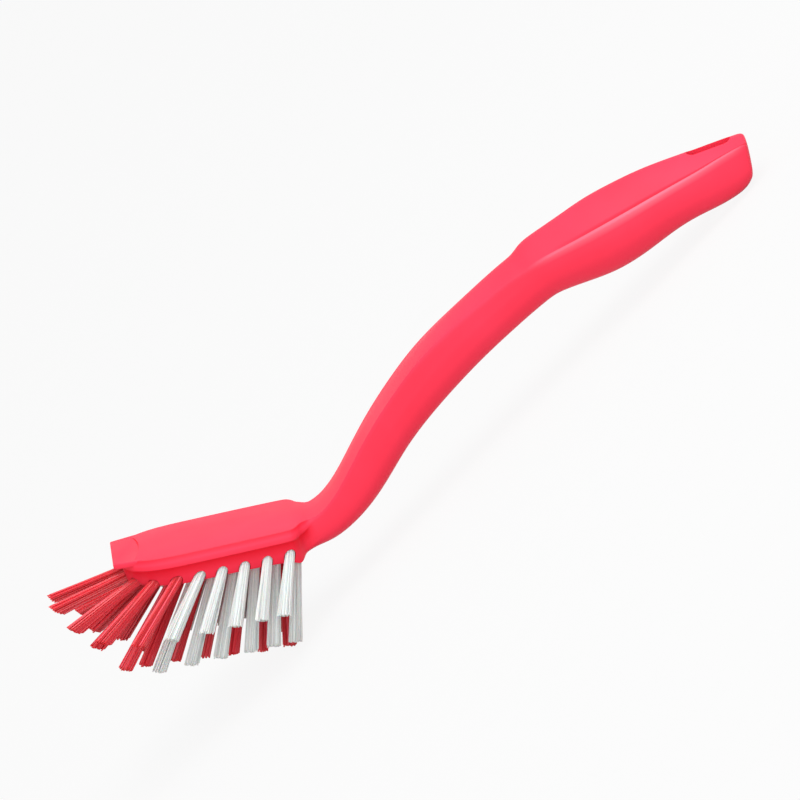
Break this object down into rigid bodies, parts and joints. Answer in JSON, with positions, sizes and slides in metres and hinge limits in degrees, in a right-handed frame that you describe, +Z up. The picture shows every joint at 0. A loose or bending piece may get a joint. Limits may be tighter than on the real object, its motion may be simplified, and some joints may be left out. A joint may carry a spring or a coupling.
{
  "type": "dish brush",
  "caption": "Washing-up brush: a bent one-piece handle and head with a hanging slot and a flat scraper lip at the nose, set with fanned tufts of bristle.",
  "frame": {"origin": "middle of the bounding box's underside, as the brush rests on a table on its rear bristle tips and the end of its handle", "axes": "+X along the brush towards the hanging end, +Y across it, +Z up; the nose of the head points to -X and upward"},
  "size_m": [0.2816, 0.0696, 0.0697],
  "materials": {
    "red_plastic": "glossy moulded polypropylene",
    "red_bristle": "satin nylon or polyester filament",
    "white_bristle": "satin nylon or polyester filament"
  },
  "bodies": {
    "root": {"inner_red_tuft_left_1": "red_bristle", "inner_red_tuft_left_2": "red_bristle", "inner_red_tuft_left_3": "red_bristle", "inner_red_tuft_left_4": "red_bristle", "inner_red_tuft_left_5": "red_bristle", "inner_red_tuft_left_6": "red_bristle", "inner_red_tuft_right_1": "red_bristle", "inner_red_tuft_right_2": "red_bristle", "inner_red_tuft_right_3": "red_bristle", "inner_red_tuft_right_4": "red_bristle", "inner_red_tuft_right_5": "red_bristle", "inner_red_tuft_right_6": "red_bristle", "middle_red_tuft_left_7": "red_bristle", "middle_red_tuft_left_8": "red_bristle", "middle_red_tuft_nose": "red_bristle", "middle_red_tuft_right_7": "red_bristle", "middle_red_tuft_right_8": "red_bristle", "middle_white_tuft_left_1": "white_bristle", "middle_white_tuft_left_2": "white_bristle", "middle_white_tuft_left_3": "white_bristle", "middle_white_tuft_left_4": "white_bristle", "middle_white_tuft_left_5": "white_bristle", "middle_white_tuft_left_6": "white_bristle", "middle_white_tuft_right_1": "white_bristle", "middle_white_tuft_right_2": "white_bristle", "middle_white_tuft_right_3": "white_bristle", "middle_white_tuft_right_4": "white_bristle", "middle_white_tuft_right_5": "white_bristle", "middle_white_tuft_right_6": "white_bristle", "moulded_handle_and_head": "red_plastic", "outer_red_tuft_left_6": "red_bristle", "outer_red_tuft_left_7": "red_bristle", "outer_red_tuft_left_8": "red_bristle", "outer_red_tuft_left_9": "red_bristle", "outer_red_tuft_right_6": "red_bristle", "outer_red_tuft_right_7": "red_bristle", "outer_red_tuft_right_8": "red_bristle", "outer_red_tuft_right_9": "red_bristle", "outer_white_tuft_left_1": "white_bristle", "outer_white_tuft_left_2": "white_bristle", "outer_white_tuft_left_3": "white_bristle", "outer_white_tuft_left_4": "white_bristle", "outer_white_tuft_left_5": "white_bristle", "outer_white_tuft_right_1": "white_bristle", "outer_white_tuft_right_2": "white_bristle", "outer_white_tuft_right_3": "white_bristle", "outer_white_tuft_right_4": "white_bristle", "outer_white_tuft_right_5": "white_bristle"}
  },
  "joints": []
}
